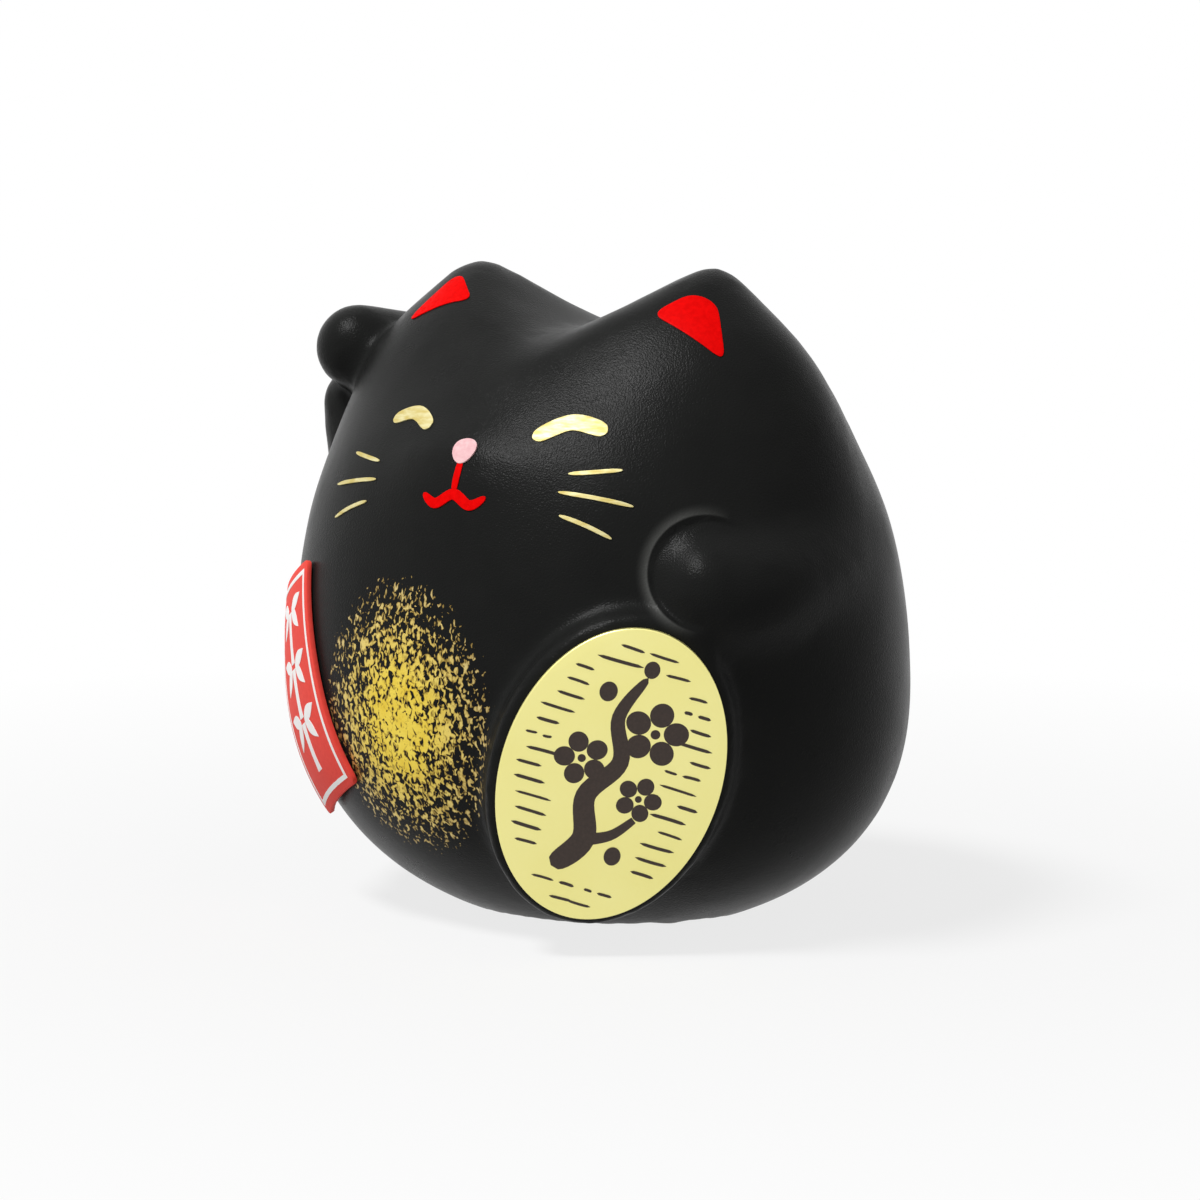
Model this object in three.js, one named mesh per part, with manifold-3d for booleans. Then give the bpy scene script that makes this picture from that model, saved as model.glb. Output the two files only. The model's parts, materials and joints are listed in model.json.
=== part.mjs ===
// Lucky cat figurine: a seated cat, slip-cast hollow in ceramic, with enamel features,
// a gilt label on the coin it holds and a red tag on its flank.
// Millimetres, +Z up. The foot stands on z = 0, the cat faces -Y and its left side is +X.
import * as THREE from "three";
import { mergeVertices } from "three/addons/utils/BufferGeometryUtils.js";
import Module from "manifold-3d";

// Egg: the body's main form, which leans forward as it rises
const eggHalfWidth = 30.4;
const eggHalfDepth = 27.2;
const girthHeight = 22;
const eggRise = 34.8; // from the girth up to the crown
const eggDrop = 24.3; // from the girth down to where the egg would end, a little below the foot
const upperFullness = 2.66; // power of the outline's curve above the girth, 2 being an ellipse
const lowerFullness = 2.25;
const eggLean = 0.058; // forward shift for each millimetre of height
const headTaper = 0.0066; // depth lost above the girth, times the height squared

// Casting
const wallThickness = 2.5;
const drainDiameter = 12;

// Ears: round cones, flattened front to back, with a valley between them
const earSpread = 10.6;
const earTipAboveCrown = 1.6;
const earTipSetback = -0.9;
const earTipRadius = 4.6;
const earRootSpread = 10.6;
const earRootBelowCrown = 9.6;
const earRootSetback = -2.1;
const earRootRadius = 12.1;
const earFlatness = 0.71;
const earBlend = 9.3;
const valleyAboveCrown = -1.6;
const valleySlope = 0.64; // rise for each millimetre out from the middle
const valleyBlend = 3.2;

// Muzzle: a low swelling round the nose and mouth
const muzzleHalfWidth = 6.5;
const muzzleHalfDepth = 3;
const muzzleHalfHeight = 4;
const muzzleInset = 4.3; // its centre, behind the face
const muzzleBelowNose = 3.3;
const muzzleBlend = 4;

// Raised right arm: from the shoulder past the wrist to the paw, which folds forward over its heel
const shoulderInset = 3.5; // behind the egg's widest point, as are the next two
const wristInset = 1.38;
const pawInset = 3.8;
const shoulderAboveGirth = 3;
const wristBelowCrown = 10.3;
const pawBelowCrown = 4.4;
const shoulderSetback = 2;
const wristSetback = 0.5;
const pawSetback = -3.6;
const shoulderRadius = 4.6;
const wristRadius = 4.3;
const pawRadius = 4.2;
const wristBlend = 1.2;
const heelLength = 8; // of the paw, towards the back
const heelInset = 3.6; // towards the head
const heelDrop = 1.2;
const heelRadius = 4;
const raisedArmBlend = 2;

// Left arm: lies round the flank, with its paw on top of the coin
const restingPawAzimuth = 57; // degrees from the front towards the cat's left
const restingElbowAzimuth = 100;
const restingPawInset = 2.9; // behind the girth
const restingElbowInset = 8.3;
const restingPawAboveGirth = 10.5;
const restingElbowAboveGirth = 12.6;
const restingPawRadius = 5.7;
const restingElbowRadius = 6.5;
const restingArmBlend = 1.8;

// Coin: an oval slab in relief on the belly, and the label glued to its face
const coinAzimuth = 36.6;
const coinHeight = 17.1;
const coinProud = 0.3; // face outside the girth, at the coin's centre
const coinTilt = 8; // degrees that the face looks down
const coinRoll = 17.5; // degrees that the top leans to the cat's left
const labelHalfWidth = 9.9;
const labelHalfHeight = 13.9;
const labelThickness = 0.4;
const labelBevel = 0.06;
const coinMargin = 1; // of ceramic round the label
const coinEdgeRadius = 1.5;
const coinDepth = 14; // back into the belly
const coinBlend = 1.4;

// Tail: a short relief at the back
const tailHalfWidth = 4.5;
const tailHalfDepth = 4;
const tailHalfHeight = 6;
const tailHeight = 9;
const tailInset = 1.5; // its centre, inside the back
const tailBlend = 2;

// Red tag on the right flank, whose back edge springs away from the belly
const tagAzimuth = -45.5;
const tagHeight = 21.3;
const tagHalfWidth = 6.2;
const tagHalfLength = 10.8;
const tagRoll = -22; // degrees that the top leans to the cat's right
const tagCornerRadius = 0.4;
const tagThickness = 0.5;
const tagSpring = 0.7;

// Enamel and glue: thickness of each layer and its clearance to what it lies on
const enamelThickness = 0.2;
const enamelGap = 0.1;
const strokeGap = 0.04; // between strokes that meet
const glueGap = 0.15;

// Face: heights count from the nose, widths from the painted mid-line
const noseBelowCrown = 12.05;
const faceShift = 0.5; // the face is painted a little to the cat's left
const noseHalfWidth = 1.85;
const noseHalfHeight = 1.3;
const noseCornerRadius = 1.05;
const eyeShift = 0.9;
const eyeSpread = 8.85;
const eyeAboveNose = 2.65;
const eyeHalfLength = 3.2;
const eyeHalfThickness = 0.8;
const eyeCrown = 0.45; // crown of the arc above its spot
const eyeInnerDrop = 1.5; // inner end below the crown
const eyeOuterDrop = 0.95;
const stemHalfThickness = 0.36;
const mouthBelowNose = 3.8;
const mouthHalfWidth = 3.5;
const mouthDip = 0.9; // depth of each curl below the tips
const mouthCurlShare = 0.55; // how far along each half its curl is lowest
const mouthHalfThickness = 0.5;
const whiskerShift = 0.2;
const whiskerHalfThickness = 0.2;
const whiskerSag = 0.35; // share of the rise that its bend reaches halfway along
const whiskers = {
  upper: { start: 10.7, aboveNose: -1.3, length: 4.9, rise: 0.65 },
  middle: { start: 10.3, aboveNose: -2.9, length: 7, rise: -0.9 },
  lower: { start: 10.9, aboveNose: -4.9, length: 5, rise: -1.9 },
};

// Red inside the ears: a patch on the front of each, with its corners counted outward and up
// from a spot a little below the ear's tip, the inner corner first and then round by the lowest
const earPaintSpread = 3.2;
const earPaintBelowTip = 1.2;
const earPaintCornerRadius = 1.3;
const earPaintCorners = {
  left: [[-2.1, 0.1], [5.6, -4.8], [3.9, 2], [1.3, 2.9]],
  right: [[-4.3, 1.9], [2.2, -2.5], [0.8, 4.9]],
};

// Faceting
const outerChord = 0.05; // most that a facet's edge may stray from the form
const innerChord = 0.25;
const finestEdge = 0.55;
const outerDetail = 12; // cuts along each side of the first ball of triangles
const innerDetail = 4;
const roundSegments = 48;
const patches = {
  tag: { edge: 52, rings: 5 }, // points round the outline and rings inside it
  earPaint: { edge: 30, rings: 3 },
  nose: { edge: 24, rings: 2 },
};
const strokes = {
  // steps along the stroke, how late it narrows to its ends, and the share of its width left there
  eye: { steps: 20, bluntness: 5, least: 0.12 },
  stem: { steps: 10, bluntness: 8, least: 0.9 },
  mouth: { steps: 28, bluntness: 3, least: 0.12 },
  whisker: { steps: 12, bluntness: 6, least: 0.4 },
};

const crownHeight = girthHeight + eggRise;
const noseHeight = crownHeight - noseBelowCrown;
const vector = (x, y, z) => new THREE.Vector3(x, y, z);
const point2 = (x, y) => new THREE.Vector2(x, y);
const radians = THREE.MathUtils.degToRad;

const wasm = await Module();
wasm.setup();

// Distance functions: millimetres from a form, negative inside it
function smoothMin(a, b, blend) {
  const overlap = Math.max(blend - Math.abs(a - b), 0) / blend;
  return Math.min(a, b) - overlap * overlap * blend * 0.25;
}

const smoothMax = (a, b, blend) => -smoothMin(-a, -b, blend);

function ellipsoid(p, centre, halfWidth, halfDepth, halfHeight) {
  const x = (p.x - centre.x) / halfWidth;
  const y = (p.y - centre.y) / halfDepth;
  const z = (p.z - centre.z) / halfHeight;
  const size = Math.hypot(x, y, z);
  const slope = Math.hypot(x / halfWidth, y / halfDepth, z / halfHeight);
  return slope < 1e-9 ? -Math.min(halfWidth, halfDepth, halfHeight) : (size * (size - 1)) / slope;
}

// A ball that shrinks or grows as it moves from one point to another
function roundCone(p, from, to, fromRadius, toRadius) {
  const axis = to.clone().sub(from);
  const length = axis.length();
  axis.divideScalar(length);
  const offset = p.clone().sub(from);
  const along = offset.dot(axis);
  const across = Math.sqrt(Math.max(offset.lengthSq() - along * along, 0));
  const sine = (fromRadius - toRadius) / length;
  const cosine = Math.sqrt(1 - sine * sine);
  const position = along * cosine - across * sine;
  if (position < 0) return Math.hypot(across, along) - fromRadius;
  if (position > cosine * length) return Math.hypot(across, along - length) - toRadius;
  return across * cosine + along * sine - fromRadius;
}

// Radius of the egg's widest ring in the direction of an azimuth, and a point on such a ring
function girthRadius(azimuth) {
  return 1 / Math.hypot(Math.sin(azimuth) / eggHalfWidth, Math.cos(azimuth) / eggHalfDepth);
}

const around = (azimuth, radius, z) => vector(radius * Math.sin(azimuth), -radius * Math.cos(azimuth), z);

// A superellipsoid whose halves above and below the girth have their own height and fullness
function eggForm(p) {
  const height = p.z - girthHeight;
  const upper = height > 0;
  const power = upper ? upperFullness : lowerFullness;
  const reach = upper ? eggRise : eggDrop;
  const halfDepth = eggHalfDepth - (upper ? headTaper * height * height : 0);
  const y = p.y + eggLean * height;
  const ring = Math.max(Math.hypot(p.x / eggHalfWidth, y / halfDepth), 1e-9);
  const level = Math.abs(height) / reach;
  const size = Math.pow(Math.pow(ring, power) + Math.pow(level, power), 1 / power);
  const ringSlope = Math.pow(ring / size, power - 1) / ring;
  const slope = Math.hypot(
    (ringSlope * p.x) / (eggHalfWidth * eggHalfWidth),
    (ringSlope * y) / (halfDepth * halfDepth),
    Math.pow(level / size, power - 1) / reach,
  );
  return (size - 1) / Math.max(slope, 1e-3);
}

const earTipHeight = crownHeight + earTipAboveCrown;
const earTip = vector(earSpread, earTipSetback, earTipHeight);
const earRoot = vector(earRootSpread, earRootSetback, crownHeight - earRootBelowCrown);

function earsForm(p) {
  const flattened = vector(Math.abs(p.x), earRootSetback + (p.y - earRootSetback) / earFlatness, p.z);
  return roundCone(flattened, earRoot, earTip, earRootRadius, earTipRadius);
}

// Open above the valley: its bottom is round and both sides rise evenly to the ears
function valleyForm(p) {
  const rise = valleySlope * (Math.hypot(p.x, valleyBlend) - valleyBlend);
  return (p.z - crownHeight - valleyAboveCrown - rise) / Math.hypot(1, valleySlope);
}

const headForm = (p) => smoothMax(smoothMin(eggForm(p), earsForm(p), earBlend), valleyForm(p), valleyBlend);

const muzzleHeight = noseHeight - muzzleBelowNose;
const faceFront = cast(headForm, vector(0, -2 * eggHalfDepth, muzzleHeight), vector(0, 1, 0)).y;
const muzzleCentre = vector(0, faceFront + muzzleInset, muzzleHeight);
const muzzleForm = (p) => ellipsoid(p, muzzleCentre, muzzleHalfWidth, muzzleHalfDepth, muzzleHalfHeight);

const shoulder = vector(shoulderInset - eggHalfWidth, shoulderSetback, girthHeight + shoulderAboveGirth);
const wrist = vector(wristInset - eggHalfWidth, wristSetback, crownHeight - wristBelowCrown);
const paw = vector(pawInset - eggHalfWidth, pawSetback, crownHeight - pawBelowCrown);
const heel = vector(paw.x + heelInset, paw.y + heelLength, paw.z - heelDrop);

function raisedArmForm(p) {
  const upperArm = roundCone(p, shoulder, wrist, shoulderRadius, wristRadius);
  const hand = roundCone(p, heel, paw, heelRadius, pawRadius);
  return smoothMin(upperArm, hand, wristBlend);
}

function restingArmForm(p) {
  const azimuth = THREE.MathUtils.radToDeg(Math.atan2(p.x, -p.y));
  const share = THREE.MathUtils.smoothstep(azimuth, restingPawAzimuth, restingElbowAzimuth);
  const along = (pawValue, elbowValue) => THREE.MathUtils.lerp(pawValue, elbowValue, share);
  const angle = radians(THREE.MathUtils.clamp(azimuth, restingPawAzimuth, restingElbowAzimuth));
  const radius = girthRadius(angle) - along(restingPawInset, restingElbowInset);
  const height = girthHeight + along(restingPawAboveGirth, restingElbowAboveGirth);
  const thickness = along(restingPawRadius, restingElbowRadius);
  return p.distanceTo(around(angle, radius, height)) - thickness;
}

// The coin's own frame: x across, y up along its long axis, z out of its face
const coinReach = girthRadius(radians(coinAzimuth)) + coinProud;
const coinFrame = new THREE.Matrix4()
  .makeRotationZ(radians(coinAzimuth))
  .multiply(new THREE.Matrix4().makeTranslation(0, -coinReach, coinHeight))
  .multiply(new THREE.Matrix4().makeRotationX(radians(90 + coinTilt)))
  .multiply(new THREE.Matrix4().makeRotationZ(radians(-coinRoll)));
const intoCoin = coinFrame.clone().invert();

function coinForm(p) {
  const q = p.clone().applyMatrix4(intoCoin);
  const halfWidth = labelHalfWidth + coinMargin;
  const halfHeight = labelHalfHeight + coinMargin;
  const size = Math.hypot(q.x / halfWidth, q.y / halfHeight);
  const slope = Math.hypot(q.x / halfWidth ** 2, q.y / halfHeight ** 2);
  const side = slope < 1e-9 ? -halfWidth : (size * (size - 1)) / slope;
  return smoothMax(side, Math.max(q.z, -q.z - coinDepth), coinEdgeRadius);
}

const backAtTail = cast(headForm, vector(0, 2 * eggHalfDepth, tailHeight), vector(0, -1, 0)).y;
const tailCentre = vector(0, backAtTail - tailInset, tailHeight);
const tailForm = (p) => ellipsoid(p, tailCentre, tailHalfWidth, tailHalfDepth, tailHalfHeight);

function bodyForm(p) {
  let distance = smoothMin(headForm(p), muzzleForm(p), muzzleBlend);
  distance = smoothMin(distance, raisedArmForm(p), raisedArmBlend);
  distance = smoothMin(distance, coinForm(p), coinBlend);
  distance = smoothMin(distance, restingArmForm(p), restingArmBlend);
  return smoothMin(distance, tailForm(p), tailBlend);
}

// The hollow that the drained slip leaves: the head and egg, one wall further in
const cavityForm = (p) => smoothMax(headForm(p) + wallThickness, wallThickness - p.z, wallThickness / 2);

// Steps along a ray until the form's distance falls to a level
function cast(form, from, direction, level = 0) {
  const p = from.clone();
  const mostSteps = 300;
  const caution = 0.7;
  const tolerance = 1e-5;
  for (let step = 0; step < mostSteps; step++) {
    const rest = form(p) - level;
    if (Math.abs(rest) < tolerance) break;
    p.addScaledVector(direction, rest * caution);
  }
  return p;
}

function outwardNormal(form, p) {
  const step = 0.02;
  const change = (axis) => {
    const offset = vector(0, 0, 0).setComponent(axis, step);
    return form(p.clone().add(offset)) - form(p.clone().sub(offset));
  };
  return vector(change(0), change(1), change(2)).normalize();
}

// Moves a point that lies near a form onto its surface
function settle(form, p) {
  const steps = 6;
  const caution = 0.9;
  for (let step = 0; step < steps; step++) {
    p.addScaledVector(outwardNormal(form, p), -form(p) * caution);
  }
  return p;
}

function solidFrom(geometry) {
  geometry.deleteAttribute("normal");
  geometry.deleteAttribute("uv");
  const merged = mergeVertices(geometry);
  const vertProperties = new Float32Array(merged.attributes.position.array);
  const triVerts = new Uint32Array(merged.index.array);
  return new wasm.Manifold(new wasm.Mesh({ numProp: 3, vertProperties, triVerts }));
}

function geometryFrom(solid) {
  const mesh = solid.getMesh();
  const geometry = new THREE.BufferGeometry();
  geometry.setAttribute("position", new THREE.BufferAttribute(new Float32Array(mesh.vertProperties), 3));
  geometry.setIndex(new THREE.BufferAttribute(new Uint32Array(mesh.triVerts), 1));
  return geometry;
}

function geometryOf(points, faces) {
  const geometry = new THREE.BufferGeometry().setFromPoints(points);
  geometry.setIndex(faces.flat());
  return geometry;
}

// Cuts each triangle at the edges that have a new middle point
function splitFaces(faces, middleOf) {
  const result = [];
  for (const face of faces) {
    const middles = face.map((corner, side) => middleOf(corner, face[(side + 1) % 3]));
    const cuts = middles.filter((middle) => middle !== undefined).length;
    if (cuts === 0) {
      result.push(face);
      continue;
    }
    // turned so that the first side is cut, and with two cuts the last one isn't
    let turn = middles.findIndex((middle) => middle !== undefined);
    if (cuts === 2 && middles[(turn + 1) % 3] === undefined) turn = (turn + 2) % 3;
    const [a, b, c] = [0, 1, 2].map((side) => face[(side + turn) % 3]);
    const [ab, bc, ca] = [0, 1, 2].map((side) => middles[(side + turn) % 3]);
    if (cuts === 1) result.push([a, ab, c], [ab, b, c]);
    if (cuts === 2) result.push([ab, b, bc], [a, ab, bc], [a, bc, c]);
    if (cuts === 3) result.push([a, ab, ca], [ab, b, bc], [ca, bc, c], [ab, bc, ca]);
  }
  return result;
}

// Evens out the triangles by drawing each point towards its neighbours and back onto the form
function relax(form, points, faces) {
  const pull = 0.5;
  const sums = points.map(() => vector(0, 0, 0));
  const counts = points.map(() => 0);
  for (const face of faces) {
    face.forEach((corner, side) => {
      sums[corner].add(points[face[(side + 1) % 3]]);
      counts[corner] += 1;
    });
  }
  points.forEach((p, i) => settle(form, p.lerp(sums[i].divideScalar(counts[i]), pull)));
}

// Wraps a ball of triangles onto a form, and cuts them finer where the form bends
function wrap(form, centre, chord, detail) {
  const ball = new THREE.IcosahedronGeometry(1, detail);
  ball.deleteAttribute("normal");
  ball.deleteAttribute("uv");
  const start = mergeVertices(ball);
  const reach = 2 * crownHeight;
  const points = [];
  for (let i = 0; i < start.attributes.position.count; i++) {
    const direction = vector().fromBufferAttribute(start.attributes.position, i).normalize();
    const outside = centre.clone().addScaledVector(direction, reach);
    points.push(cast(form, outside, direction.negate()));
  }
  let faces = [];
  for (let i = 0; i < start.index.count; i += 3) {
    faces.push([0, 1, 2].map((corner) => start.index.getX(i + corner)));
  }
  const rounds = 6;
  const mostPoints = 1e6;
  const key = (a, b) => Math.min(a, b) * mostPoints + Math.max(a, b);
  for (let round = 0; round < rounds; round++) {
    relax(form, points, faces);
    const middles = new Map();
    for (const face of faces) {
      face.forEach((corner, side) => {
        const next = face[(side + 1) % 3];
        const length = points[corner].distanceTo(points[next]);
        if (middles.has(key(corner, next)) || length < 2 * finestEdge) return;
        const middle = points[corner].clone().lerp(points[next], 0.5);
        if (Math.abs(form(middle)) < chord) return;
        middles.set(key(corner, next), points.push(settle(form, middle)) - 1);
      });
    }
    if (middles.size === 0) break;
    faces = splitFaces(faces, (a, b) => middles.get(key(a, b)));
  }
  return geometryOf(points, faces);
}

// A spot on the body: its point, the direction out of it and the directions across and up along the skin
function spotAt(p, roll = 0) {
  const out = outwardNormal(bodyForm, p);
  const across = vector(0, 0, 1).cross(out).normalize();
  const up = out.clone().cross(across);
  across.applyAxisAngle(out, radians(-roll));
  up.applyAxisAngle(out, radians(-roll));
  return { point: p, out, across, up };
}

const frontSpot = (x, z) => spotAt(cast(bodyForm, vector(x, -2 * eggHalfDepth, z), vector(0, 1, 0)));

function flankSpot(azimuth, z, roll) {
  const inward = around(radians(azimuth), -1, 0);
  return spotAt(cast(headForm, around(radians(azimuth), 2 * eggHalfWidth, z), inward), roll);
}

// A flat sheet of triangles along a brush stroke, whose half width follows the stroke
function strokeSheet(path, halfThickness, { steps, bluntness, least }) {
  const halfWidth = brush(halfThickness, bluntness, least);
  const lanes = 2;
  const points = [];
  for (let i = 0; i <= steps; i++) {
    const share = i / steps;
    const middle = path.getPoint(share);
    const direction = path.getTangent(share);
    const side = point2(-direction.y, direction.x);
    for (let lane = 0; lane <= lanes; lane++) {
      const offset = halfWidth(share) * ((2 * lane) / lanes - 1);
      points.push(middle.clone().addScaledVector(side, offset));
    }
  }
  const at = (i, lane) => i * (lanes + 1) + lane;
  const faces = [];
  for (let i = 0; i < steps; i++) {
    for (let lane = 0; lane < lanes; lane++) {
      faces.push([at(i, lane), at(i + 1, lane), at(i + 1, lane + 1)]);
      faces.push([at(i, lane), at(i + 1, lane + 1), at(i, lane + 1)]);
    }
  }
  return { points, faces };
}

// A flat sheet inside a closed outline, in rings that shrink towards its centre
function patchSheet(outline, { rings }) {
  const count = outline.length;
  const centre = outline.reduce((sum, p) => sum.add(p), point2(0, 0)).divideScalar(count);
  const points = [centre];
  for (let ring = 1; ring <= rings; ring++) {
    for (const p of outline) points.push(centre.clone().lerp(p, ring / rings));
  }
  const at = (ring, i) => (ring === 0 ? 0 : 1 + (ring - 1) * count + (i % count));
  const faces = [];
  for (let i = 0; i < count; i++) {
    faces.push([0, at(1, i), at(1, i + 1)]);
    for (let ring = 1; ring < rings; ring++) {
      faces.push([at(ring, i), at(ring + 1, i), at(ring + 1, i + 1)]);
      faces.push([at(ring, i), at(ring + 1, i + 1), at(ring, i + 1)]);
    }
  }
  return { points, faces };
}

// Lays a flat sheet on the body at a spot, as a closed layer between two distances from the skin
function layer(sheet, spot, gap, thickness) {
  const lay = (p, level) => {
    const start = spot.point.clone().addScaledVector(spot.across, p.x).addScaledVector(spot.up, p.y);
    const lift = 6;
    return cast(bodyForm, start.addScaledVector(spot.out, lift), spot.out.clone().negate(), level);
  };
  const count = sheet.points.length;
  const under = sheet.points.map((p) => lay(p, gap(p)));
  const over = sheet.points.map((p) => lay(p, gap(p) + thickness));
  const faces = [];
  const sides = new Map();
  for (const face of sheet.faces) {
    faces.push(face.map((corner) => corner + count), face.slice().reverse());
    face.forEach((corner, side) => {
      const next = face[(side + 1) % 3];
      sides.set(`${corner} ${next}`, [corner, next]);
    });
  }
  for (const [a, b] of sides.values()) {
    const inside = sides.has(`${b} ${a}`);
    if (!inside) faces.push([a, b, b + count], [a, b + count, a + count]);
  }
  return geometryOf([...under, ...over], faces);
}

const enamel = (sheet, spot) => layer(sheet, spot, () => enamelGap, enamelThickness);

// A polygon with rounded corners, as evenly spaced points
function roundedPolygon(corners, radius, { edge }) {
  const path = new THREE.Path();
  corners.forEach((corner, i) => {
    const before = corners[(i + corners.length - 1) % corners.length];
    const after = corners[(i + 1) % corners.length];
    const enter = corner.clone().add(before.clone().sub(corner).setLength(radius));
    const leave = corner.clone().add(after.clone().sub(corner).setLength(radius));
    if (i === 0) path.moveTo(enter.x, enter.y);
    else path.lineTo(enter.x, enter.y);
    path.quadraticCurveTo(corner.x, corner.y, leave.x, leave.y);
  });
  path.closePath();
  return path.getSpacedPoints(edge).slice(0, edge);
}

// Half width of a brush stroke: full in the middle, round at both ends
function brush(halfThickness, bluntness, least) {
  return (share) => halfThickness * Math.max(least, Math.sqrt(1 - Math.abs(2 * share - 1) ** bluntness));
}

function bodyGeometry() {
  const centre = vector(0, 0, girthHeight);
  const outer = solidFrom(wrap(bodyForm, centre, outerChord, outerDetail));
  const cavity = solidFrom(wrap(cavityForm, centre, innerChord, innerDetail));
  const footCentre = eggLean * girthHeight;
  const drainRadius = drainDiameter / 2;
  const drain = new THREE.CylinderGeometry(drainRadius, drainRadius, 3 * wallThickness, roundSegments);
  drain.rotateX(radians(90)).translate(0, footCentre, wallThickness / 2);
  const groundSize = 4 * eggHalfWidth;
  const ground = new THREE.BoxGeometry(groundSize, groundSize, groundSize).translate(0, 0, -groundSize / 2);
  const body = outer.subtract(cavity).subtract(solidFrom(drain)).subtract(solidFrom(ground));
  return geometryFrom(body);
}

function labelGeometry() {
  const outline = new THREE.Shape();
  outline.absellipse(0, 0, labelHalfWidth - labelBevel, labelHalfHeight - labelBevel);
  const plate = new THREE.ExtrudeGeometry(outline, {
    depth: labelThickness - 2 * labelBevel,
    curveSegments: roundSegments,
    bevelSize: labelBevel,
    bevelThickness: labelBevel,
    bevelSegments: 1,
  });
  return plate.translate(0, 0, glueGap + labelBevel);
}

function tagGeometry() {
  const corner = (x, y) => point2(x * tagHalfWidth, y * tagHalfLength);
  const corners = [corner(-1, -1), corner(1, -1), corner(1, 1), corner(-1, 1)];
  const sheet = patchSheet(roundedPolygon(corners, tagCornerRadius, patches.tag), patches.tag);
  const backShare = (p) => THREE.MathUtils.clamp((tagHalfWidth - p.x) / (2 * tagHalfWidth), 0, 1);
  const gap = (p) => glueGap + tagSpring * backShare(p) ** 2;
  return layer(sheet, flankSpot(tagAzimuth, tagHeight, tagRoll), gap, tagThickness);
}

function earPaintGeometry(side, places) {
  const corners = places.map(([x, y]) => point2(side * x, y));
  if (side < 0) corners.reverse();
  const spot = frontSpot(side * (earSpread + earPaintSpread), earTipHeight - earPaintBelowTip);
  const outline = roundedPolygon(corners, earPaintCornerRadius, patches.earPaint);
  return enamel(patchSheet(outline, patches.earPaint), spot);
}

function eyeGeometry(side) {
  const path = new THREE.SplineCurve([
    point2(-side * eyeHalfLength, eyeCrown - eyeInnerDrop),
    point2(0, eyeCrown),
    point2(side * eyeHalfLength, eyeCrown - eyeOuterDrop),
  ]);
  const spot = frontSpot(eyeShift + side * eyeSpread, noseHeight + eyeAboveNose);
  return enamel(strokeSheet(path, eyeHalfThickness, strokes.eye), spot);
}

// Nose, stem and mouth share one spot, so that they line up and keep clear of each other
const noseSpot = frontSpot(faceShift, noseHeight);
const noseOutline = roundedPolygon(
  [point2(0, -noseHalfHeight), point2(noseHalfWidth, noseHalfHeight), point2(-noseHalfWidth, noseHalfHeight)],
  noseCornerRadius,
  patches.nose,
);

const noseGeometry = () => enamel(patchSheet(noseOutline, patches.nose), noseSpot);

function stemGeometry() {
  const top = Math.min(...noseOutline.map((p) => p.y)) - strokeGap;
  const bottom = mouthHalfThickness - mouthBelowNose + strokeGap;
  const path = new THREE.LineCurve(point2(0, top), point2(0, bottom));
  return enamel(strokeSheet(path, stemHalfThickness, strokes.stem), noseSpot);
}

function mouthGeometry() {
  const curl = (x, y) => point2(x * mouthHalfWidth, -mouthBelowNose - y * mouthDip);
  const low = mouthCurlShare;
  const path = new THREE.SplineCurve([curl(-1, 0), curl(-low, 1), curl(0, 0), curl(low, 1), curl(1, 0)]);
  return enamel(strokeSheet(path, mouthHalfThickness, strokes.mouth), noseSpot);
}

function whiskerGeometry(side, { start, aboveNose, length, rise }) {
  const path = new THREE.QuadraticBezierCurve(
    point2(0, 0),
    point2((side * length) / 2, rise * whiskerSag),
    point2(side * length, rise),
  );
  const spot = frontSpot(whiskerShift + side * start, noseHeight + aboveNose);
  return enamel(strokeSheet(path, whiskerHalfThickness, strokes.whisker), spot);
}

const figurine = new THREE.Group();

function add(name, geometry, colour, roughness, metalness = 0) {
  const material = new THREE.MeshStandardMaterial({ color: colour, roughness, metalness });
  const mesh = new THREE.Mesh(geometry, material);
  mesh.name = name;
  figurine.add(mesh);
  return mesh;
}

const black = 0x17171a;
const gold = 0xd8c27a;
const red = 0xd01c1c;
const pink = 0xf0a0b0;

add("ceramic_body", bodyGeometry(), black, 0.45);
add("coin_label", labelGeometry(), gold, 0.4, 0.6).applyMatrix4(coinFrame);
add("fortune_tag", tagGeometry(), red, 0.6);
add("nose", noseGeometry(), pink, 0.5);
add("mouth_stem", stemGeometry(), red, 0.5);
add("mouth", mouthGeometry(), red, 0.5);
for (const [name, side] of [["left", 1], ["right", -1]]) {
  add(`ear_paint_${name}`, earPaintGeometry(side, earPaintCorners[name]), red, 0.5);
  add(`eye_${name}`, eyeGeometry(side), gold, 0.4, 0.6);
  for (const [level, whisker] of Object.entries(whiskers)) {
    add(`whisker_${name}_${level}`, whiskerGeometry(side, whisker), gold, 0.4, 0.6);
  }
}

// The origin is on the ground, under the middle of the whole figurine
const extent = new THREE.Box3().setFromObject(figurine);
const middle = extent.getCenter(vector());
figurine.position.set(-middle.x, -middle.y, -extent.min.z);

export default figurine;
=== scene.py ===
import json
import math
import random

import bpy
from mathutils import Matrix, Vector

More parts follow.
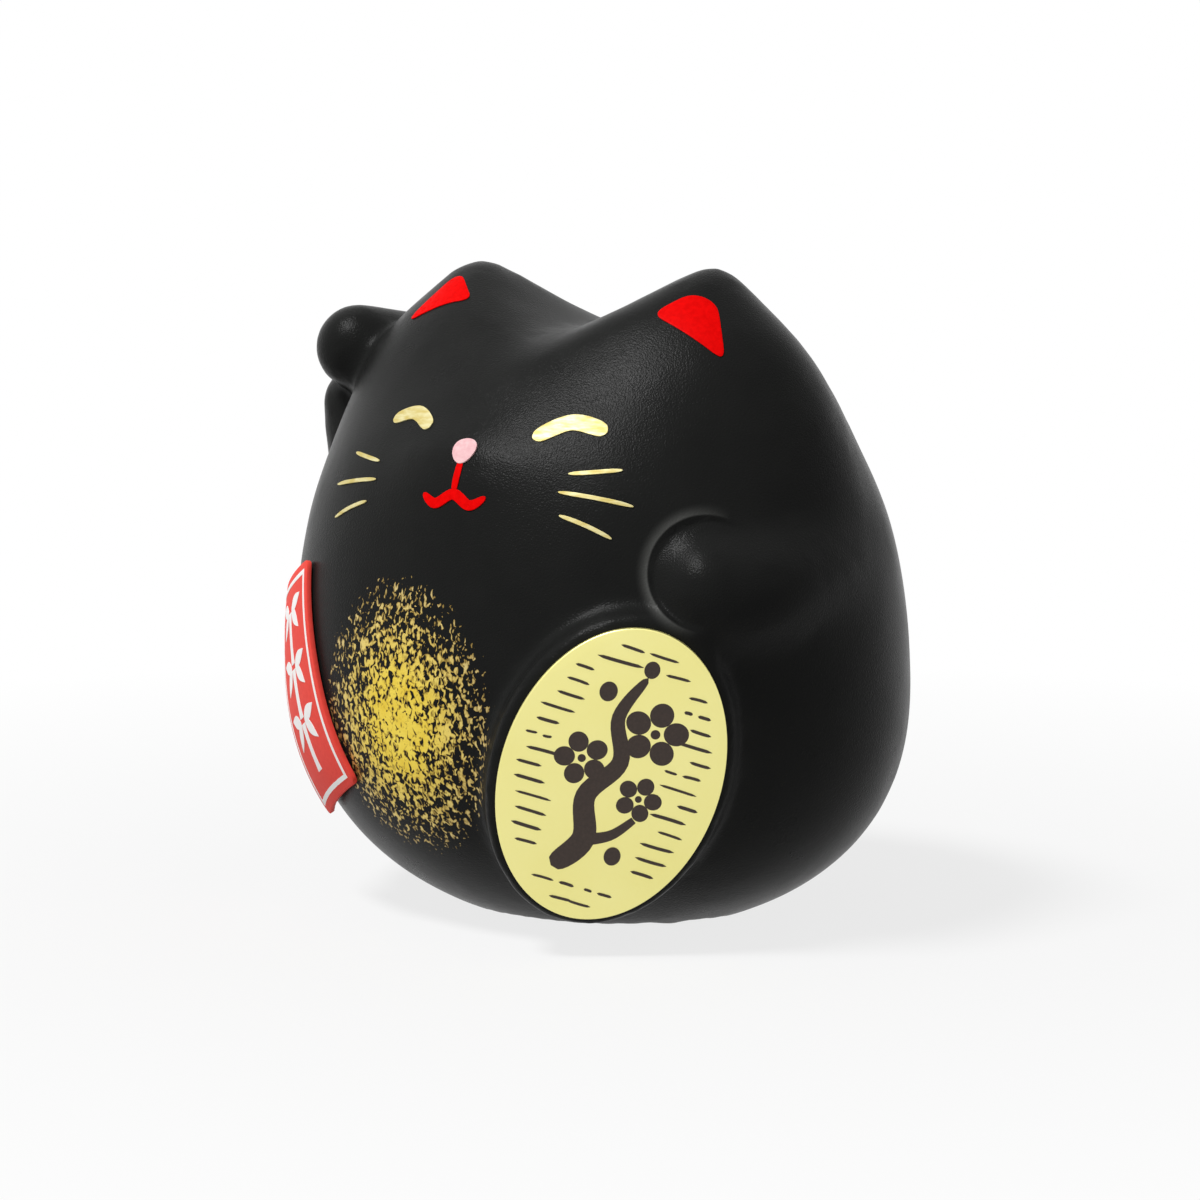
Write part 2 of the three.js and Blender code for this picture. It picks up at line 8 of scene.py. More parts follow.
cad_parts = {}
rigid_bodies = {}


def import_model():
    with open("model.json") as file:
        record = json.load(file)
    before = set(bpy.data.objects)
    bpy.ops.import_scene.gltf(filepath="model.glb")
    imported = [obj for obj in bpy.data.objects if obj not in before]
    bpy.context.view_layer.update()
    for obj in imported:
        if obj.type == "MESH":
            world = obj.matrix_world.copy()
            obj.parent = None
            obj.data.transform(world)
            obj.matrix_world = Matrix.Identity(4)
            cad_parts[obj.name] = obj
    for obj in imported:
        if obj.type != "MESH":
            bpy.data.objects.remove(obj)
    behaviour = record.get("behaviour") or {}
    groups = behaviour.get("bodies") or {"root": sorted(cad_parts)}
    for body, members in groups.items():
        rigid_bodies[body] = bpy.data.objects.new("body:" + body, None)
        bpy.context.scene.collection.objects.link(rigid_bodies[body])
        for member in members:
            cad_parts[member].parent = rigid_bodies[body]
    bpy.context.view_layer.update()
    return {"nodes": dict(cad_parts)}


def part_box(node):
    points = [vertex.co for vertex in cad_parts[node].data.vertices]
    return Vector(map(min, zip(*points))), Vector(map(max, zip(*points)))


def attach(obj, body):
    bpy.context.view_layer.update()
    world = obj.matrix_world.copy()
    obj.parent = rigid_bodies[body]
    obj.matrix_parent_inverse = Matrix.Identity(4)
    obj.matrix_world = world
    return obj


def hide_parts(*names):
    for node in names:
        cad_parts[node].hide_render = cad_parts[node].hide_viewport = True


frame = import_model()

MM = 0.001
MERGE_DISTANCE = 0.001 * MM
ROUNDED_ANGLE = 60

# Glazed casting: its sharp edges, the smoothing of its facets, and where its clay is bare
SHARP_ANGLE = 50
SHARP_HOLD = 0.8
QUAD_ANGLE = 40
SMOOTH_FACTOR = 0.5
SMOOTH_PASSES = 4
CEILING_HEIGHT = 20 * MM
CEILING_FACING = -0.8
DRAIN_REACH = 11 * MM
DRAIN_HEIGHT = 4 * MM
DRAIN_FACING = -0.5
FOOT_HEIGHT = 0.01 * MM
WIPED_HEIGHT = 0.16 * MM
WIPED_EDGE = 0.04 * MM

# Holding paw, whose crease is sharp at its tip and softens along the arm and under it, with a painted
# highlight beside it
PAW_CENTRE = Vector((22.95, -13.02, 34.53)) * MM
PAW_AXIS = Vector((0.569, -0.812, 0.129)).normalized()
PAW_RADIUS = 5.15 * MM
PAW_SWELL = 0.35 * MM
FADE_DIRECTION = Vector((0.494, 0.760, -0.42)).normalized()
CREASE_FADE = (-2.8 * MM, 1 * MM)
CREASE_DEPTH = 0.45 * MM
CREASE_STEP = 0.35 * MM
CREASE_RISE = 1.3 * MM
HIGHLIGHT_FADE = (-4.7 * MM, -0.6 * MM)
HIGHLIGHT_EDGE = 0.22 * MM
HIGHLIGHT_WIDTH = 1.3 * MM

# Raised arm, where the folded paw runs into the arm and its heel into the head in soft hollows
WRIST_HOLLOW = Vector((-26.6, 1.6, 48.6)) * MM
HEEL_HOLLOW = Vector((-20.5, 8, 48)) * MM
HOLLOW_REACH = 7 * MM
HOLLOW_PASSES = 90

# Glaze, with a fine grain and broad waves
GLAZE_GRAIN = 0.16 * MM
GLAZE_GRAIN_HEIGHT = 0.038 * MM
GLAZE_GRAIN_RELIEF = 1
GLAZE_WAVE = 5 * MM
GLAZE_ROUGHNESS = (0.27, 0.32)
GLAZE_GLOSS = 0.042

# Sponged gold on the belly: it lies where a noise is above a level that rises from the middle to the rim
SPONGE_CENTRE = Vector((-2.6, -25.4, 20.2)) * MM
SPONGE_RADII = Vector((11.2, 16, 14.2)) * MM
SPONGE_LEAN = 6
SPONGE_PORE = 0.42 * MM
SPONGE_PORE_STRETCH = (1, 1, 0.7)
SPONGE_PORE_TWIST = 0.7
SPONGE_CLOUD = 4 * MM
SPONGE_PATCH = 1.6 * MM
SPONGE_UNEVEN = (-0.03, 0.03)
SPONGE_SLOPE = (0.1, 0.95)
SPONGE_LEVELS = (0.37, 0.605)
SPONGE_END = (0.9, 1.12)
SPONGE_END_LEVELS = (0, 0.4)
SPONGE_SOFT_EDGE = (-0.015, 0.015)
SPONGE_THICKENING = (0, 0.12)
SPONGE_MUTING = (0.3, 0.95)
SPONGE_METALLIC = 0.6
SPONGE_HEIGHT = 0.02 * MM
SPONGE_RELIEF = 0.6

# Paint films on the face and ears; the eyes and the mouth's stem lie as the brush left them
FILM = 0.09 * MM
FILM_EDGE = 0.04 * MM
FILM_LIFT = 0.005 * MM
FILM_FACING = 0.6
STEM_FILM = 0.1 * MM
STEM_STRETCH = 1.12
EYE_SHIFT = {"left": Vector((-0.2, 0, 0)) * MM, "right": Vector((0, 0, 0.3)) * MM}
EYE_TURN = {"left": -4, "right": 0}
EYE_SIZE = {"left": 1.08, "right": 0.96}
NOSE_FILM = 0.16 * MM
NOSE_HALF_WIDTH = 1.5 * MM
NOSE_HALF_HEIGHT = 1.07 * MM
NOSE_TAPER = 0.18
FAR_AHEAD = 1

# Enamel, from thin to full along its streaks
STREAK = 0.5 * MM
STREAK_HEIGHT = 0.02 * MM
STREAK_RELIEF = 0.5
STREAK_SWING = (0.35, 0.65)
THIN_ROUGHER = 0.06
FULL_SMOOTHER = 0.04
EVEN_STREAKS = (1, 1, 1)
UPRIGHT_STREAKS = (0.35, 0.35, 1.4)

# Bare clay, gilt foil and red card, each with its own pattern
CLAY_STAIN = 6 * MM
CLAY_GRIT = 0.4 * MM
CLAY_GRIT_HEIGHT = 0.06 * MM
CLAY_GRIT_RELIEF = 0.6
CLAY_ROUGHNESS = 0.9
FOIL_CLOUD = 7 * MM
FOIL_BRUSHING = 0.35 * MM
FOIL_BRUSHING_HEIGHT = 0.01 * MM
FOIL_BRUSHING_RELIEF = 0.4
FOIL_ROUGHNESS = (0.36, 0.46)
FOIL_METALLIC = 0.95
CARD_FIBRE = 0.4 * MM
CARD_FIBRE_HEIGHT = 0.02 * MM
CARD_FIBRE_RELIEF = 0.4
CARD_ROUGHNESS = 0.55
CARD_GLOSS = 0.08
PAPER_ROUGHNESS = 0.9

# Coin label, in its own frame: x across, y up its long axis, z out of its face
LABEL_CENTRE = Vector((18.452, -21.373, 17.1)) * MM
LABEL_AZIMUTH = 36.6
LABEL_TILT = 8
LABEL_ROLL = 17.5
LABEL_HALF_WIDTH = 9.9 * MM
LABEL_HALF_HEIGHT = 13.9 * MM
LABEL_FACE = 0.55 * MM
LABEL_EDGE = 0.12 * MM

# Ink on the label and the tag
INK = 0.03 * MM
INK_STEP = 0.001 * MM
LABEL_INK_LIFT = 0.002 * MM
TAG_INK_LIFT = 0.004 * MM
BROWN_MOTTLE = 0.25 * MM
WHITE_MOTTLE = 0.3 * MM
STROKE_NUDGE = 0.01
STROKE_TIP = 0.02 * MM

# Hatching on the label, in rows that leave room for the plum branch
HATCH_SEED = 7
HATCH_SPACING = 1.42 * MM
HATCH_OFFSET = 0.3
HATCH_MARGIN = 1.2 * MM
HATCH_LEAST_EDGE = 1.5 * MM
HATCH_LEAST_ROOM = 1 * MM
BRANCH_HALF_WIDTH = 4.9 * MM
BRANCH_HALF_HEIGHT = 10.2 * MM
MIDDLE_GAP = 0.3 * MM
DASH_INSET = 0.25
DASH_LENGTHS = (1.9 * MM, 4.4 * MM)
DASH_OVERLAP = 0.5 * MM
DASH_SLANT = 0.1 * MM
DASH_BOW = 0.05 * MM
DASH_HALF_WIDTHS = (0.1 * MM, 0.15 * MM)
DASH_BLUNTNESS = 6
DASH_TIP = 0.01 * MM
BROKEN_LENGTH = 2.4 * MM
BROKEN_CHANCE = 0.25
BROKEN_PLACES = (0.35, 0.65)
BROKEN_HALF_GAP = 0.25 * MM

# Plum branch on the label, in millimetres, with turns in radians and petals in shares of their blossom
BOUGH = [(-2.6, -9.6), (-0.6, -6.4), (-1.6, -2.4), (0.4, 1.4), (-1.0, 5.4), (0.4, 9.6)]
BOUGH_HALF_WIDTH = 1.2
BOUGH_TAPER = 0.75
BOUGH_BLUNTNESS = 8
TWIG = [(-0.9, -6.6), (1.6, -5.4), (3.2, -3.4)]
TWIG_HALF_WIDTH = 0.62
TWIG_TAPER = 0.3
BLOSSOMS = ((2.6, 4.8, 3.1, 0.3), (-3.0, 0.8, 2.6, 0.8), (3.0, -1.4, 2.2, 0.1))
BUDS = ((-2.6, 7.4, 0.8), (0.5, 10.4, 0.7), (2.4, -7.2, 0.75))
PETALS = 5
PETAL_REACH = 0.6
PETAL_RADIUS = 0.345
PETAL_STRETCH = 1.05
HEART_RADIUS = 0.14
BUD_STRETCH = 1.15

# Red tag, in a frame of the label's kind
TAG_CENTRE = Vector((-18.992, -18.565, 21.3)) * MM
TAG_AZIMUTH = -39.11
TAG_TILT = 3.37
TAG_ROLL = -22
TAG_HALF_WIDTH = 6.18 * MM
TAG_HALF_LENGTH = 10.78 * MM
TAG_CORNER = 0.7 * MM
TAG_THICKNESS = 0.5 * MM
TAG_EDGE = 0.08 * MM
TAG_GLUE = 0.15 * MM
TAG_SPRING = 0.7 * MM
TAG_DROP = 10 * MM
BORDER_INSET = 0.75 * MM
BORDER_WIDTH = 0.42 * MM
BORDER_CUTS = 40

# Bamboo on the tag, in millimetres, with the leaves' turns in radians
CULM_JOINTS = (-8.2, -3.2, 2.0, 7.4)
CULM_GAP = 0.25
CULM_WAIST = 0.5
CULM_FLARE = 0.14
LEAF_LENGTH = 3.3
LEAF_HALF_WIDTH = 0.62
LEAF_FULLNESS = 0.8
LEAF_SPREAD = 0.75
LEAF_TURNS = (0.25, -0.75)

# Colours, most of them in pairs that a noise drifts between
GLAZE_BLACK = ((0.0085, 0.0088, 0.0085), (0.0125, 0.0128, 0.0122))
# Grey of the painted highlight beside the holding paw's crease
PAINTED_HIGHLIGHT_GREY = (0.085, 0.086, 0.082)
SPONGE_BRIGHT = ((0.78, 0.52, 0.03), (0.98, 0.80, 0.14))
SPONGE_MUTED = ((0.42, 0.29, 0.09), (0.80, 0.66, 0.34))
SPONGE_THIN = (0.24, 0.15, 0.03)
CLAY = ((0.50, 0.46, 0.40), (0.62, 0.58, 0.51))
CLAY_MEAN = tuple(sum(shades) / 2 for shades in zip(*CLAY))
ENAMEL_PINK = ((0.78, 0.45, 0.47), (0.86, 0.56, 0.57))
ENAMEL_RED = ((0.70, 0.0015, 0.0015), (0.82, 0.0025, 0.0025))
ENAMEL_GOLD = ((0.56, 0.45, 0.14), (0.70, 0.64, 0.34))
FOIL_GILT = ((0.90, 0.83, 0.30), (0.95, 0.89, 0.38))
CARD_RED = ((0.78, 0.055, 0.042), (0.90, 0.085, 0.062))
INK_BROWN = ((0.022, 0.013, 0.009), (0.060, 0.036, 0.026))
INK_WHITE = ((0.92, 0.91, 0.89), (0.97, 0.96, 0.95))
PAPER_GREY = (0.6, 0.6, 0.6)

# Most values of a noise lie between these
NOISE_SWING = (0.3, 0.7)

# Studio, where azimuth 0 is straight ahead of the cat and grows towards its left
CAMERA_PLACE = Vector((219.41, -309.75, 78.6)) * MM
CAMERA_AIM = Vector((1.292, 1.412, 29)) * MM
CAMERA_LENS = 120
CAMERA_SENSOR = 36
CAMERA_NEAR = 10 * MM
AMBIENT = 0.12
FLOOR_WIDTH = 6
FLOOR_SHADED = (40 * MM, 160 * MM)
FLOOR_WHITENESS = (0.8, 1)


# Modelling helpers
def only(piece):
    bpy.ops.object.select_all(action="DESELECT")
    piece.select_set(True)
    bpy.context.view_layer.objects.active = piece


def edit(piece, action="SELECT", mode="VERT"):
    only(piece)
    bpy.ops.object.mode_set(mode="EDIT")
    bpy.ops.mesh.select_mode(type=mode)
    bpy.ops.mesh.select_all(action=action)


def leave_edit():
    bpy.ops.object.mode_set(mode="OBJECT")


def edit_faces(piece, wanted):
    edit(piece, "DESELECT", "FACE")
    leave_edit()
    for face in piece.data.polygons:
        face.select = wanted(face)
    bpy.ops.object.mode_set(mode="EDIT")


def edit_edges(piece, wanted):
    edit(piece, "DESELECT", "EDGE")
    leave_edit()
    places = [vertex.co for vertex in piece.data.vertices]
    for edge in piece.data.edges:
        start, end = (places[corner] for corner in edge.vertices)
        edge.select = wanted(start, end)
    bpy.ops.object.mode_set(mode="EDIT")


def shaped_by(piece, kind, **settings):
    only(piece)
    modifier = piece.modifiers.new(kind.title(), kind)
    for setting, value in settings.items():
        setattr(modifier, setting, value)
    bpy.ops.object.modifier_apply(modifier=modifier.name)


def round_edges(piece, width, segments):
    sharp = math.radians(ROUNDED_ANGLE)
    shaped_by(piece, "BEVEL", width=width, segments=segments, limit_method="ANGLE", angle_limit=sharp)


def face_outward(piece):
    edit(piece)
    bpy.ops.mesh.normals_make_consistent(inside=False)
    leave_edit()


def face_towards_front(piece):
    facing = sum(face.normal.y * face.area for face in piece.data.polygons)
    if facing > 0:
        edit(piece)
        bpy.ops.mesh.flip_normals()
        leave_edit()


def placed(piece, matrix):
    piece.data.transform(matrix)
    piece.data.update()
    return piece


def joined(pieces, name):
    bpy.ops.object.select_all(action="DESELECT")
    for piece in pieces:
        piece.select_set(True)
    bpy.context.view_layer.objects.active = pieces[0]
    if len(pieces) > 1:
        bpy.ops.object.join()
    whole = bpy.context.active_object
    whole.name = name
    whole.data.name = name
    return whole


def merged_copy(node, name):
    mesh = frame["nodes"][node].data.copy()
    mesh.name = name
    piece = bpy.data.objects.new(name, mesh)
    bpy.context.scene.collection.objects.link(piece)
    only(piece)
    bpy.ops.mesh.customdata_custom_splitnormals_clear()
    edit(piece)
    bpy.ops.mesh.remove_doubles(threshold=MERGE_DISTANCE)
    leave_edit()
    return piece


def painted(piece, *materials):
    piece.data.materials.clear()
    for material in materials:
        piece.data.materials.append(material)
    return piece


def finished(piece, slot, *nodes, smooth_angle=40):
    only(piece)
    bpy.ops.object.shade_smooth_by_angle(angle=math.radians(smooth_angle))
    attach(piece, "root")
    if nodes:
        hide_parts(*nodes)
    return piece


def face_frame(centre, azimuth, tilt, roll):
    turn = Matrix.Rotation(math.radians(azimuth), 4, "Z")
    lean = Matrix.Rotation(math.radians(90 + tilt), 4, "X")
    spin = Matrix.Rotation(math.radians(-roll), 4, "Z")
    return Matrix.Translation(centre) @ turn @ lean @ spin


def on_disc(x, y):
    """Where a place in a square of half-width 1 goes when the square is drawn in to a round disc."""
    return x * math.sqrt(1 - y * y / 2), y * math.sqrt(1 - x * x / 2)


# Node helpers
def finish_tree(name):
    material = bpy.data.materials.new(name)
    material.use_nodes = True
    tree = material.node_tree
    place = tree.nodes.new("ShaderNodeTexCoord").outputs["Object"]
    return material, tree, tree.nodes["Principled BSDF"], place


def noise(tree, place, size, detail=2.0, distortion=0.0, stretch=(1, 1, 1)):
    mapping = tree.nodes.new("ShaderNodeMapping")
    mapping.inputs["Scale"].default_value = stretch
    texture = tree.nodes.new("ShaderNodeTexNoise")
    texture.inputs["Scale"].default_value = 1 / size
    texture.inputs["Detail"].default_value = detail
    texture.inputs["Distortion"].default_value = distortion
    tree.links.new(place, mapping.inputs["Vector"])
    tree.links.new(mapping.outputs["Vector"], texture.inputs["Vector"])
    return texture.outputs["Fac"]


def spread(tree, value, between, onto=(0, 1), curve="LINEAR"):
    """The value stretched from one range onto another, and held at its ends."""
    node = tree.nodes.new("ShaderNodeMapRange")
    node.interpolation_type = curve
    node.inputs["From Min"].default_value, node.inputs["From Max"].default_value = between
    node.inputs["To Min"].default_value, node.inputs["To Max"].default_value = onto
    tree.links.new(value, node.inputs["Value"])
    return node.outputs["Result"]


def maths(tree, operation, first, second):
    node = tree.nodes.new("ShaderNodeMath")
    node.operation = operation
    for socket, value in zip(node.inputs, (first, second)):
        if isinstance(value, (int, float)):
            socket.default_value = value
        else:
            tree.links.new(value, socket)
    return node.outputs["Value"]


def vector_maths(tree, operation, first, second=None):
    """A number for a length or a dot product, else a vector."""
    node = tree.nodes.new("ShaderNodeVectorMath")
    node.operation = operation
    tree.links.new(first, node.inputs[0])
    if second is not None:
        node.inputs[1].default_value = second
    return node.outputs["Value" if operation in ("LENGTH", "DOT_PRODUCT") else "Vector"]


def blended(tree, share, first, second):
    node = tree.nodes.new("ShaderNodeMix")
    node.data_type = "RGBA"
    tree.links.new(share, node.inputs["Factor"])
    colours = [socket for socket in node.inputs if socket.type == "RGBA"]
    for socket, colour in zip(colours, (first, second)):
        if isinstance(colour, tuple):
            socket.default_value = (*colour, 1)
        else:
            tree.links.new(colour, socket)
    return next(socket for socket in node.outputs if socket.type == "RGBA")


def roughened(tree, shader, height, depth, strength):
    node = tree.nodes.new("ShaderNodeBump")
    node.inputs["Strength"].default_value = strength
    node.inputs["Distance"].default_value = depth
    tree.links.new(height, node.inputs["Height"])
    before = shader.inputs["Normal"].links
    if before:
        tree.links.new(before[0].from_socket, node.inputs["Normal"])
    tree.links.new(node.outputs["Normal"], shader.inputs["Normal"])


# Materials
def sponged_gold(tree, place):
    """Where the sponge left gold, and its colour: crowded and bright at the middle, muted at the rim."""
    oval = tree.nodes.new("ShaderNodeMapping")
    oval.vector_type = "TEXTURE"
    oval.inputs["Location"].default_value = SPONGE_CENTRE
    oval.inputs["Rotation"].default_value = (0, math.radians(SPONGE_LEAN), 0)
    oval.inputs["Scale"].default_value = SPONGE_RADII
    tree.links.new(place, oval.inputs["Vector"])
    reach = vector_maths(tree, "LENGTH", oval.outputs["Vector"])
    inner = spread(tree, reach, SPONGE_SLOPE, SPONGE_LEVELS)
    outer = spread(tree, reach, SPONGE_END, SPONGE_END_LEVELS)
    level = maths(tree, "ADD", inner, outer)
    pores = noise(tree, place, SPONGE_PORE, 1, SPONGE_PORE_TWIST, SPONGE_PORE_STRETCH)
    clouds = noise(tree, place, SPONGE_CLOUD, detail=1)
    uneven = spread(tree, clouds, NOISE_SWING, SPONGE_UNEVEN)
    above = maths(tree, "SUBTRACT", maths(tree, "ADD", pores, uneven), level)
    mask = spread(tree, above, SPONGE_SOFT_EDGE, curve="SMOOTHSTEP")
    patches = noise(tree, place, SPONGE_PATCH)
    bright = blended(tree, patches, *SPONGE_BRIGHT)
    muted = blended(tree, patches, *SPONGE_MUTED)
    full = blended(tree, spread(tree, reach, SPONGE_MUTING), bright, muted)
    gold = blended(tree, spread(tree, above, SPONGE_THICKENING), SPONGE_THIN, full)
    return mask, gold


def painted_crease_highlight(tree, place):
    """1 on the painted highlight, a pale line beside the crease at the holding paw's tip, sharp at the
    paw and soft beyond.
    """
    away = vector_maths(tree, "SUBTRACT", place, PAW_CENTRE)
    reach = vector_maths(tree, "LENGTH", vector_maths(tree, "CROSS_PRODUCT", away, PAW_AXIS))
    outside = maths(tree, "SUBTRACT", reach, PAW_RADIUS)
    edge = spread(tree, outside, (0, HIGHLIGHT_EDGE), curve="SMOOTHSTEP")
    glow = maths(tree, "POWER", spread(tree, outside, (HIGHLIGHT_EDGE, HIGHLIGHT_WIDTH), (1, 0)), 2)
    line = maths(tree, "MULTIPLY", edge, glow)
    fade = spread(tree, vector_maths(tree, "DOT_PRODUCT", away, FADE_DIRECTION), HIGHLIGHT_FADE, (1, 0))
    return maths(tree, "MULTIPLY", line, fade)


def wiped_foot(tree, place):
    """1 at the foot, which is wiped bare of glaze up to a small height."""
    axes = tree.nodes.new("ShaderNodeSeparateXYZ")
    tree.links.new(place, axes.inputs["Vector"])
    return spread(tree, axes.outputs["Z"], (WIPED_HEIGHT, WIPED_HEIGHT + WIPED_EDGE), (1, 0))


def black_glaze():
    material, tree, shader, place = finish_tree("black_glaze")
    grain = noise(tree, place, GLAZE_GRAIN, detail=1)
    waves = noise(tree, place, GLAZE_WAVE, detail=3)
    black = blended(tree, waves, *GLAZE_BLACK)
    # The glaze is lightened to grey along the paw's crease, a painted highlight
    glaze = blended(tree, painted_crease_highlight(tree, place), black, PAINTED_HIGHLIGHT_GREY)
    mask, gold = sponged_gold(tree, place)
    dabbed = blended(tree, mask, glaze, gold)
    colour = blended(tree, wiped_foot(tree, place), dabbed, CLAY_MEAN)
    tree.links.new(colour, shader.inputs["Base Color"])
    tree.links.new(spread(tree, mask, (0, 1), (0, SPONGE_METALLIC)), shader.inputs["Metallic"])
    tree.links.new(spread(tree, waves, NOISE_SWING, GLAZE_ROUGHNESS), shader.inputs["Roughness"])
    shader.inputs["Specular IOR Level"].default_value = GLAZE_GLOSS
    roughened(tree, shader, grain, GLAZE_GRAIN_HEIGHT, GLAZE_GRAIN_RELIEF)
    roughened(tree, shader, mask, SPONGE_HEIGHT, SPONGE_RELIEF)
    return material


def bare_clay():
    material, tree, shader, place = finish_tree("bare_clay")
    grit = noise(tree, place, CLAY_GRIT, detail=4)
    stain = noise(tree, place, CLAY_STAIN, detail=3)
    tree.links.new(blended(tree, stain, *CLAY), shader.inputs["Base Color"])
    shader.inputs["Roughness"].default_value = CLAY_ROUGHNESS
    roughened(tree, shader, grit, CLAY_GRIT_HEIGHT, CLAY_GRIT_RELIEF)
    return material


def enamel(name, colours, roughness, gloss, metallic=0.0, streaking=EVEN_STREAKS):
    """Brushed paint whose colour shifts from thin to full along its streaks."""
    material, tree, shader, place = finish_tree(name)
    streaks = noise(tree, place, STREAK, detail=3, stretch=streaking)
    colour = blended(tree, spread(tree, streaks, STREAK_SWING), *colours)
    polish = spread(tree, streaks, NOISE_SWING, (roughness + THIN_ROUGHER, roughness - FULL_SMOOTHER))
    tree.links.new(colour, shader.inputs["Base Color"])
    tree.links.new(polish, shader.inputs["Roughness"])
    shader.inputs["Metallic"].default_value = metallic
    shader.inputs["Specular IOR Level"].default_value = gloss
    roughened(tree, shader, streaks, STREAK_HEIGHT, STREAK_RELIEF)
    return material


def gilt_foil():
    material, tree, shader, place = finish_tree("gilt_foil")
    brushing = noise(tree, place, FOIL_BRUSHING, detail=3)
    clouds = noise(tree, place, FOIL_CLOUD, detail=2)
    tree.links.new(blended(tree, clouds, *FOIL_GILT), shader.inputs["Base Color"])
    tree.links.new(spread(tree, brushing, NOISE_SWING, FOIL_ROUGHNESS), shader.inputs["Roughness"])
    shader.inputs["Metallic"].default_value = FOIL_METALLIC
    roughened(tree, shader, brushing, FOIL_BRUSHING_HEIGHT, FOIL_BRUSHING_RELIEF)
    return material


def red_card():
    material, tree, shader, place = finish_tree("red_card")
    fibres = noise(tree, place, CARD_FIBRE, detail=4)
    tree.links.new(blended(tree, fibres, *CARD_RED), shader.inputs["Base Color"])
    shader.inputs["Roughness"].default_value = CARD_ROUGHNESS
    shader.inputs["Specular IOR Level"].default_value = CARD_GLOSS
    roughened(tree, shader, fibres, CARD_FIBRE_HEIGHT, CARD_FIBRE_RELIEF)
    return material


def printing_ink(name, colours, mottling, roughness):
    material, tree, shader, place = finish_tree(name)
    mottle = noise(tree, place, mottling, detail=3)
    tree.links.new(blended(tree, mottle, *colours), shader.inputs["Base Color"])
    shader.inputs["Roughness"].default_value = roughness
    return material


# Glazed casting: the solid's own form, smoothed, with a bare foot and inside
def press_crease(body):
    """Steps in at the crease round the holding paw and lets the paw swell behind it."""
    start, end = CREASE_FADE
    normals = [vertex.normal.copy() for vertex in body.data.vertices]
    for vertex, normal in zip(body.data.vertices, normals):
        away = vertex.co - PAW_CENTRE
        inside_line = PAW_RADIUS - away.cross(PAW_AXIS).length
        glazed = normal.xy.dot(vertex.co.xy) > 0
        if glazed and inside_line > 0:
            fade = min(max((end - away.dot(FADE_DIRECTION)) / (end - start), 0), 1)
            step = CREASE_DEPTH * min(inside_line / CREASE_STEP, 1) * math.exp(-inside_line / CREASE_RISE)
            swell = PAW_SWELL * math.sin(math.pi / 2 * inside_line / PAW_RADIUS) ** 2
            vertex.co += normal * (fade * (swell - step))
    body.data.update()


def soften_raised_arm(body):
    """Smooths both hollows of the raised arm, fully up to half of their reach and less beyond."""
    group = body.vertex_groups.new(name="raised_arm")
    for vertex in body.data.vertices:
        nearest = min((vertex.co - hollow).length for hollow in (WRIST_HOLLOW, HEEL_HOLLOW))
        share = 1 - nearest / HOLLOW_REACH
        if share > 0:
            group.add([vertex.index], min(2 * share, 1), "REPLACE")
    shaped_by(body, "SMOOTH", factor=SMOOTH_FACTOR, iterations=HOLLOW_PASSES, vertex_group=group.name)
    body.vertex_groups.clear()


def hold_sharp_edges(body):
    """Creases the sharp edges, makes them seams, and turns the facets between them into quads."""
    edit(body, "DESELECT", "EDGE")
    bpy.ops.mesh.edges_select_sharp(sharpness=math.radians(SHARP_ANGLE))
    bpy.ops.mesh.mark_seam()
    bpy.ops.transform.edge_crease(value=SHARP_HOLD)
    bpy.ops.mesh.select_all(action="SELECT")
    flat_enough = math.radians(QUAD_ANGLE)
    bpy.ops.mesh.tris_convert_to_quads(face_threshold=flat_enough, shape_threshold=flat_enough)
    leave_edit()


def inside_faces(body):
    """All faces of the hollow up to its seams, found from the ceiling's face nearest to the middle."""

    def on_ceiling(face):
        return face.normal.z < CEILING_FACING and face.center.z > CEILING_HEIGHT

    ceiling = [face for face in body.data.polygons if on_ceiling(face)]
    middle = min(ceiling, key=lambda face: face.center.xy.length).index
    edit_faces(body, lambda face: face.index == middle)
    bpy.ops.mesh.select_linked(delimit={"SEAM"})
    leave_edit()
    return {face.index for face in body.data.polygons if face.select}


def in_drain(face):
    near = face.center.z < DRAIN_HEIGHT and face.center.xy.length < DRAIN_REACH
    return near and face.normal.z > DRAIN_FACING


def glazed_casting():
    body = merged_copy("ceramic_body", "glazed_casting")
    hold_sharp_edges(body)
    inside = inside_faces(body)
    painted(body, black_glaze(), bare_clay())
    for face in body.data.polygons:
        on_foot = face.center.z < FOOT_HEIGHT
        bare = face.index in inside or in_drain(face) or on_foot
        face.material_index = 1 if bare else 0
    shaped_by(body, "SUBSURF", levels=2, render_levels=2)
    shaped_by(body, "SMOOTH", factor=SMOOTH_FACTOR, iterations=SMOOTH_PASSES)
    soften_raised_arm(body)
    press_crease(body)
    return finished(body, "black_body", "ceramic_body", smooth_angle=60)


casting = glazed_casting()


# Painted features: the upper skin of each enamel solid, laid on the glaze with a soft edge
def finish_film(film, node, material, slot, thickness):
    shaped_by(film, "SOLIDIFY", thickness=thickness, offset=1)
    round_edges(film, FILM_EDGE, segments=2)
    finished(painted(film, material), slot, node)


def painted_film(node, name, material, slot, thickness=FILM, brushed=Matrix()):
    """A film on the outer face of a stroke's node, set about its middle as the brush left it."""
    film = merged_copy(node, name)

    def faces_away(face):
        found, place, normal, index = casting.closest_point_on_mesh(face.center)
        return not found or face.normal.dot(normal) <= FILM_FACING

    edit_faces(film, faces_away)
    bpy.ops.mesh.delete(type="FACE")
    leave_edit()
    edit(film)
    bpy.ops.mesh.tris_convert_to_quads()
    leave_edit()
    shaped_by(film, "SUBSURF", levels=2, render_levels=2)
    middle = sum((vertex.co for vertex in film.data.vertices), Vector()) / len(film.data.vertices)
    placed(film, Matrix.Translation(middle) @ brushed @ Matrix.Translation(-middle))
    shaped_by(film, "SHRINKWRAP", target=casting, wrap_method="NEAREST_SURFACEPOINT", offset=FILM_LIFT)
    finish_film(film, node, material, slot, thickness)


